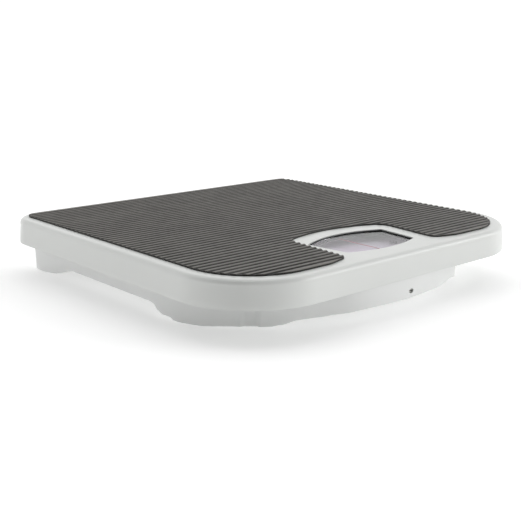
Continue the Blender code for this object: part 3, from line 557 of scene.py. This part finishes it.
def make_tray(look):
    """The moulded base: thin walls, a pan, and feet drawn down from it at the corners."""
    outline = resampled(tray_outline(), 1.5)
    inset = -2.0
    channel = [fluted(x, y) for x, y in outline]

    def set_in(distance, share=1.0):
        return grown(outline, [distance + share * c for c in channel])

    border = set_in(inset)
    heights = [sole_height(x, y) for x, y in border]
    floor = (0.05, FLOOR), (0.5, FLOOR), (0.75, FLOOR + 0.9)
    loops = [[(x * t, y * t, z) for x, y in border] for t, z in floor]
    loops += [level(grown(outline, d), z) for d, z in (
        (-14, 9.9), (-5.4, 10.2), (-4.2, 10.5), (-3.4, 11.3), (-2.7, 13.0), (-2.1, 19.0), (-1.6, 22.0),
        (-1.2, RIM - 0.25), (-0.95, RIM), (-0.25, RIM), (0.0, RIM - 0.25), (-0.2, 23.0))]
    loops.append(level(set_in(-0.35), 19.0))
    loops.append([(x, y, h + (20.0 - h) * 0.45) for (x, y), h in zip(set_in(-0.55), heights)])
    for k in range(6):
        a = math.pi / 2 * k / 5
        ring = set_in(-0.7 + (inset + 0.7) * (1 - math.cos(a)))
        loops.append([(x, y, h + 1.3 * (1 - math.sin(a))) for (x, y), h in zip(ring, heights)])
    inward = (0.015, 0.03, 0.05, 0.07, 0.09, 0.11, 0.135, 0.16, 0.19, 0.22, 0.26, 0.3, 0.35, 0.4, 0.5, 0.65,
              0.8, 0.95)
    for t in inward:
        ring = [(x * (1 - t), y * (1 - t)) for x, y in border]
        loops.append([(x, y, sole_height(x, y)) for x, y in ring])
    tray = loft("tray_shell", loops, sharp=50)
    sides = (-RECESS_X, RECESS_X)
    for x, y in [(x, y) for y in (RECESS_FRONT_Y, RECESS_BACK_Y) for x in sides]:
        turns = [math.tau * i / 40 for i in range(40)]
        ring = [(x + RECESS_RADIUS * math.cos(a), y + RECESS_RADIUS * math.sin(a)) for a in turns]
        combined(tray, stacked("recess", ring, [(0, 5), (0, 7.5)]), sharp=50)
    half, front, back, radius = PANEL_HALF, PANEL_FRONT_Y, PANEL_BACK_Y, PANEL_RADIUS
    corners = [(-half, back, radius), (-half, front, radius), (half, front, radius), (half, back, radius)]
    panel = rounded(corners, math.radians(10))
    combined(tray, stacked("panel", panel, [(0, 5), (0, 7.35)]), sharp=50)
    turns = [math.tau * i / 32 for i in range(32)]
    wide, tall = HOLE_HALF_WIDTH, HOLE_HALF_HEIGHT
    oval = [(HOLE_X + wide * math.cos(a), HOLE_Z + tall * math.sin(a)) for a in turns]
    hole = loft("hole", [[(x, y, z) for x, z in oval] for y in (-135, -124)])
    combined(tray, hole, sharp=50)
    return dressed(tray, "base", look, "white_plastic", "base_tray")


def make_pads(look):
    """Four thin rubber pads let into the soles, each with a slightly rounded tread edge."""
    corners = {
        "front": [(100, -54, 3), (100, -71, 3), (111, -71, 4), (116, -62, 12), (118, -54, 3)],
        "back": [(102, 120, 3), (102, 100, 4), (121, 100, 4), (121, 120, 8)],
    }
    for end, shape in corners.items():
        for hand, sign in (("left", -1), ("right", 1)):
            outline = rounded([(x * sign, y, r) for x, y, r in shape[::sign]], math.radians(10))
            profile = [(-0.6, 0.0), (-0.15, 0.15), (0, 0.5), (0, 2.1)]
            pad = stacked(f"tread_pad_{end}_{hand}", outline, profile)
            dressed(pad, "base", look, "pad_rubber", f"foot_pad_{end}_{hand}")


# ---------------------------------------------------------------- dial

def dial_print(look):
    """Ticks for each kilogram and a number for each ten, printed round the dial."""
    low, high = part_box("dial_disc")
    centre = Vector(((low.x + high.x) / 2, (low.y + high.y) / 2)) / MM
    top = high.z / MM
    bm = bmesh.new()
    for kg in range(DIAL_KG + 1):
        angle = math.radians(-90 - kg / DIAL_KG * DIAL_SWEEP)
        along = Vector((math.cos(angle), math.sin(angle)))
        side = Vector((-along.y, along.x))
        inner, half = (62.5, 0.3) if kg % 10 == 0 else (64.0, 0.22) if kg % 5 == 0 else (65.5, 0.14)
        ends = (inner, -half), (TICK_OUTER, -half), (TICK_OUTER, half), (inner, half)
        corners = [centre + along * r + side * s for r, s in ends]
        rows = [[bm.verts.new((c.x, c.y, top + z)) for c in corners] for z in (0.01, 0.04)]
        bm.faces.new(reversed(rows[0]))
        bm.faces.new(rows[1])
        for i in range(4):
            j = (i + 1) % 4
            bm.faces.new((rows[0][i], rows[0][j], rows[1][j], rows[1][i]))
    dressed(finish_mesh(bm, "dial_ticks"), "dial", look, "dial_white")

    numbers = bmesh.new()
    for kg in range(0, DIAL_KG + 1, 10):
        curve = bpy.data.curves.new("number", "FONT")
        curve.body, curve.size, curve.align_x, curve.align_y = str(kg), NUMBER_SIZE, "CENTER", "CENTER"
        curve.extrude, curve.resolution_u = 0.015, 4
        text = bpy.data.objects.new("number", curve)
        bpy.context.scene.collection.objects.link(text)
        bpy.context.view_layer.update()
        graph = bpy.context.evaluated_depsgraph_get()
        mesh = bpy.data.meshes.new_from_object(text.evaluated_get(graph))
        angle = math.radians(-90 - kg / DIAL_KG * DIAL_SWEEP)
        place = centre + Vector((math.cos(angle), math.sin(angle))) * NUMBER_RADIUS
        turn = Matrix.Rotation(angle - math.pi / 2, 4, "Z")
        mesh.transform(Matrix.Translation((place.x, place.y, top + 0.03)) @ turn)
        numbers.from_mesh(mesh)
        bpy.data.objects.remove(text)
    dressed(finish_mesh(numbers, "dial_numbers"), "dial", look, "dial_white")


# ---------------------------------------------------------------- mechanism and small parts

def carried(name, look, width=0.15, sharp=32):
    """A CAD node that keeps its shape: edges broken slightly, and its procedural material."""
    node = nodes[name]
    for slot in node.material_slots:
        slot.material = look
    weld = node.modifiers.new("weld", "WELD")
    weld.merge_threshold = 0.000004
    if width:
        softened(node, width, 2, sharp)
    return node


def dress_carried():
    steel = plated_steel()
    dark_steel = plated_steel("spring_wire", (0.42, 0.42, 0.43), (0.2, 0.34))
    brass_look = brass()
    by_slot = {
        "zinc_steel": steel, "spring_steel": dark_steel, "brass": brass_look, "dial_white": dial_face(),
    }
    for entry in frame["record"]["subparts"]:
        look = by_slot.get(entry["material_slot"])
        if look is not None:
            carried(entry["node"], look, 0.0 if entry["material_slot"] == "spring_steel" else 0.15)


# ---------------------------------------------------------------- studio

def studio():
    """A pale floor that is lit from within, seen from above only, inside the light tent."""
    bm = bmesh.new()
    quarters = (-1, -1), (1, -1), (1, 1), (-1, 1)
    bm.faces.new([bm.verts.new((x * FLOOR_REACH, y * FLOOR_REACH, 0)) for x, y in quarters])
    floor = finish_mesh(bm, "studio_floor")
    look = Look("studio_floor", (0.93, 0.93, 0.93), 0.9, Specular_IOR_Level=0.1)
    look.tint(look.noise(1.5, 2), (0.925, 0.925, 0.925), (0.935, 0.935, 0.935))
    look.shader.inputs["Emission Color"].default_value = (1, 1, 1, 1)
    look.shader.inputs["Emission Strength"].default_value = FLOOR_GLOW
    clear = look.node("ShaderNodeBsdfTransparent").outputs["BSDF"]
    sides = look.node("ShaderNodeMixShader")
    look.link(look.node("ShaderNodeNewGeometry").outputs["Backfacing"], sides.inputs["Fac"])
    look.link(look.shader.outputs["BSDF"], sides.inputs[1])
    look.link(clear, sides.inputs[2])
    look.link(sides.outputs["Shader"], look.tree.nodes["Material Output"].inputs["Surface"])
    floor.data.materials.append(look.material)

    light_tent()
    bpy.context.scene.view_settings.view_transform = "Standard"


def light_tent():
    """An even white light tent, open and dark toward the camera, with panels right, left and overhead."""
    world = bpy.data.worlds.new("studio")
    world.use_nodes = True
    tree = world.node_tree
    background = tree.nodes["Background"]
    way = tree.nodes.new("ShaderNodeTexCoord").outputs["Generated"]

    def toward(direction, low, high, dark, light):
        """Strength that grows with how far a ray points along a direction."""
        dot = tree.nodes.new("ShaderNodeVectorMath")
        dot.operation = "DOT_PRODUCT"
        dot.inputs[1].default_value = Vector(direction).normalized()
        tree.links.new(way, dot.inputs[0])
        ramp = tree.nodes.new("ShaderNodeMapRange")
        ramp.interpolation_type = "SMOOTHSTEP"
        for key, value in zip(RANGE_INPUTS, (low, high, dark, light)):
            ramp.inputs[key].default_value = value
        tree.links.new(dot.outputs["Value"], ramp.inputs["Value"])
        return ramp.outputs["Result"]

    def maths(operation, first, second):
        node = tree.nodes.new("ShaderNodeMath")
        node.operation = operation
        for socket, value in zip(node.inputs, (first, second)):
            if isinstance(value, float):
                socket.default_value = value
            else:
                tree.links.new(value, socket)
        return node.outputs["Value"]

    opening = toward((-0.66, -0.75, 0.1), -0.02, 0.47, TENT_WHITE, 0.03)
    right = toward((0.75, -0.66, 0.15), 0.85, 1.0, 0.0, 3.8)
    left = toward((-0.75, 0.66, 0.15), 0.6, 1.0, 0.0, 0.55)
    overhead = toward((0.1, 0.1, 1), 0.5, 1.0, 0.0, 0.22)
    total = maths("ADD", maths("ADD", opening, right), maths("ADD", left, overhead))
    seen = tree.nodes.new("ShaderNodeLightPath").outputs["Is Camera Ray"]
    tree.links.new(maths("MAXIMUM", total, seen), background.inputs["Strength"])
    background.inputs["Color"].default_value = (1, 1, 1, 1)
    bpy.context.scene.world = world


def camera():
    azimuth, elevation, roll = math.radians(-41.652), math.radians(14.381), math.radians(0.244)
    back = Vector((
        math.sin(azimuth) * math.cos(elevation),
        -math.cos(azimuth) * math.cos(elevation),
        math.sin(elevation),
    ))
    right = Vector((math.cos(azimuth), math.sin(azimuth), 0))
    up = back.cross(right)
    right, up = right * math.cos(roll) + up * math.sin(roll), up * math.cos(roll) - right * math.sin(roll)
    target, distance = Vector((-0.0867, -0.0900, TOP * MM)), 0.5404
    data = bpy.data.cameras.new("camera")
    data.lens, data.sensor_width = 62.5, 36.0
    made = bpy.data.objects.new("camera", data)
    rotation = Matrix((right, up, back)).transposed().to_4x4()
    made.matrix_world = Matrix.Translation(target + back * distance) @ rotation
    bpy.context.scene.collection.objects.link(made)
    bpy.context.scene.camera = made


for startup in [o for o in bpy.data.objects if o.type in ("CAMERA", "LIGHT") or o.name == "Cube"]:
    bpy.data.objects.remove(startup)
camera()
make_cover(enamel())
make_window(
    clear_window(),
    # The seal's black is painted shadow for the gap round the lens.
    soft_rubber("seal_black_shadow_gap", (0.012, 0.012, 0.013)),
    printed("index_red", (0.50, 0.07, 0.12)),
)
make_mat(ribbed_rubber())
make_tray(moulded_white())
make_pads(soft_rubber("pad_grey", (0.66, 0.67, 0.66)))
dial_print(printed("dial_ink", (0.16, 0.15, 0.17)))
dress_carried()
studio()
